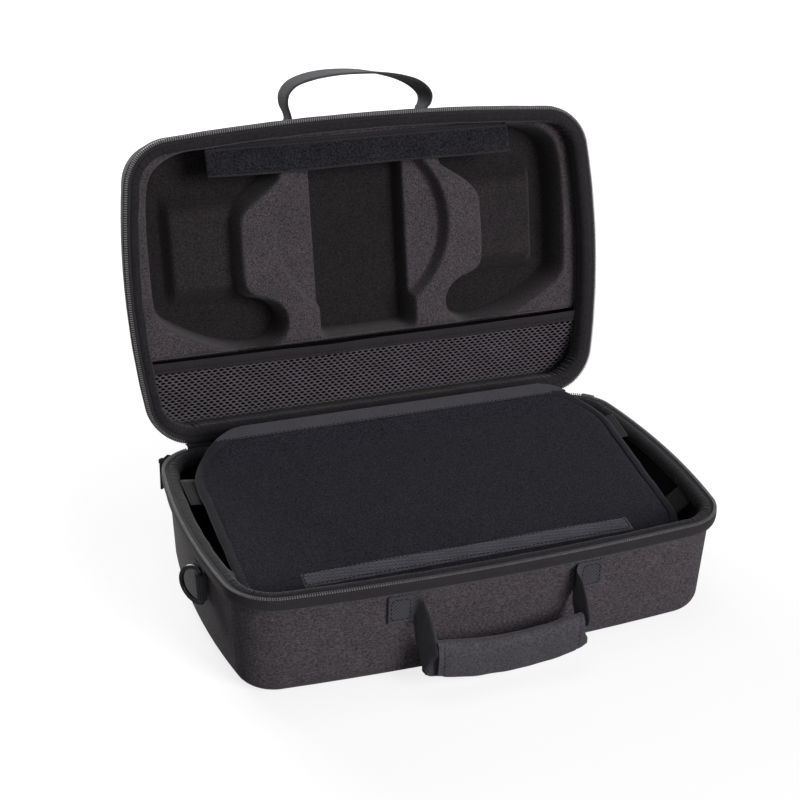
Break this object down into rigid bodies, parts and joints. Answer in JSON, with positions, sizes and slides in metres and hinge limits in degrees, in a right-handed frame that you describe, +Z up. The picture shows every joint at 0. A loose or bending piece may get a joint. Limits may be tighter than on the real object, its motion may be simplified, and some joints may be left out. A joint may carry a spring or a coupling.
{
  "type": "console storage case",
  "caption": "Zip-round hard fabric carrying case, lid open, with a moulded tray for two gamepads in the lid, a net pocket, a padded divider over the base and webbing handles.",
  "frame": {"origin": "middle of the base's flat underside, on the surface it stands on", "axes": "+Z up, +X along the long side to the right seen from the front, +Y towards the hinge at the rear, front wall with the padded handle at -Y"},
  "size_m": [0.4517, 0.4048, 0.3834],
  "materials": {
    "shell_fabric": "heather weave over moulded foam board",
    "binding_fabric": "soft knit",
    "zip_tape": "fine weave",
    "zip_teeth": "satin",
    "tray_fabric": "brushed knit over moulded foam",
    "net": "open net",
    "webbing": "ribbed webbing",
    "fastener": "hook and loop",
    "divider_fabric": "fine knit over thin padding",
    "grip_fabric": "smooth padded cloth",
    "black_metal": "gloss"
  },
  "bodies": {
    "base": {"base_shell": "shell_fabric", "base_rim_binding": "binding_fabric", "base_zip_tape": "zip_tape", "base_zip_teeth": "zip_teeth", "hinge_strip": "binding_fabric", "base_handle_webbing": "webbing", "base_handle_grip": "grip_fabric", "divider_panel": "divider_fabric", "divider_binding": "binding_fabric", "divider_band": "webbing", "divider_hook_strip": "fastener", "rear_strap": "webbing", "front_strap": "webbing", "ring_tab_left": "webbing", "ring_tab_right": "webbing", "zip_slider_left": "black_metal", "zip_slider_right": "black_metal"},
    "lid": {"lid_shell": "shell_fabric", "lid_rim_binding": "binding_fabric", "lid_zip_tape": "zip_tape", "lid_zip_teeth": "zip_teeth", "lid_tray": "tray_fabric", "mesh_pocket": "net", "mesh_pocket_hem": "webbing", "loop_flap": "binding_fabric", "loop_strip": "fastener", "lid_handle": "webbing"},
    "ring_left": {"d_ring_left": "black_metal"},
    "ring_right": {"d_ring_right": "black_metal"},
    "pull_left": {"zip_pull_left": "black_metal"},
    "pull_right": {"zip_pull_right": "black_metal"}
  },
  "joints": [
    {"name": "lid_hinge", "type": "hinge", "parent": "base", "child": "lid", "pos_m": [0, 0.1315, 0.094], "axis": [-1, 0, 0], "range_deg": [-102, 78]},
    {"name": "ring_left_swing", "type": "hinge", "parent": "base", "child": "ring_left", "pos_m": [-0.21246, -0.045, 0.06477], "axis": [-0.0499, 0, 0.9988], "range_deg": [-18, 135]},
    {"name": "ring_right_swing", "type": "hinge", "parent": "base", "child": "ring_right", "pos_m": [0.21246, -0.045, 0.06477], "axis": [0.0499, 0, 0.9988], "range_deg": [-135, 18]},
    {"name": "pull_left_swing", "type": "hinge", "parent": "base", "child": "pull_left", "pos_m": [-0.20063, 0.12387, 0.0878], "axis": [0.7071, 0.7071, 0], "range_deg": [-20, 110]},
    {"name": "pull_right_swing", "type": "hinge", "parent": "base", "child": "pull_right", "pos_m": [0.20063, 0.12387, 0.0878], "axis": [0.7071, -0.7071, 0], "range_deg": [-20, 110]}
  ]
}
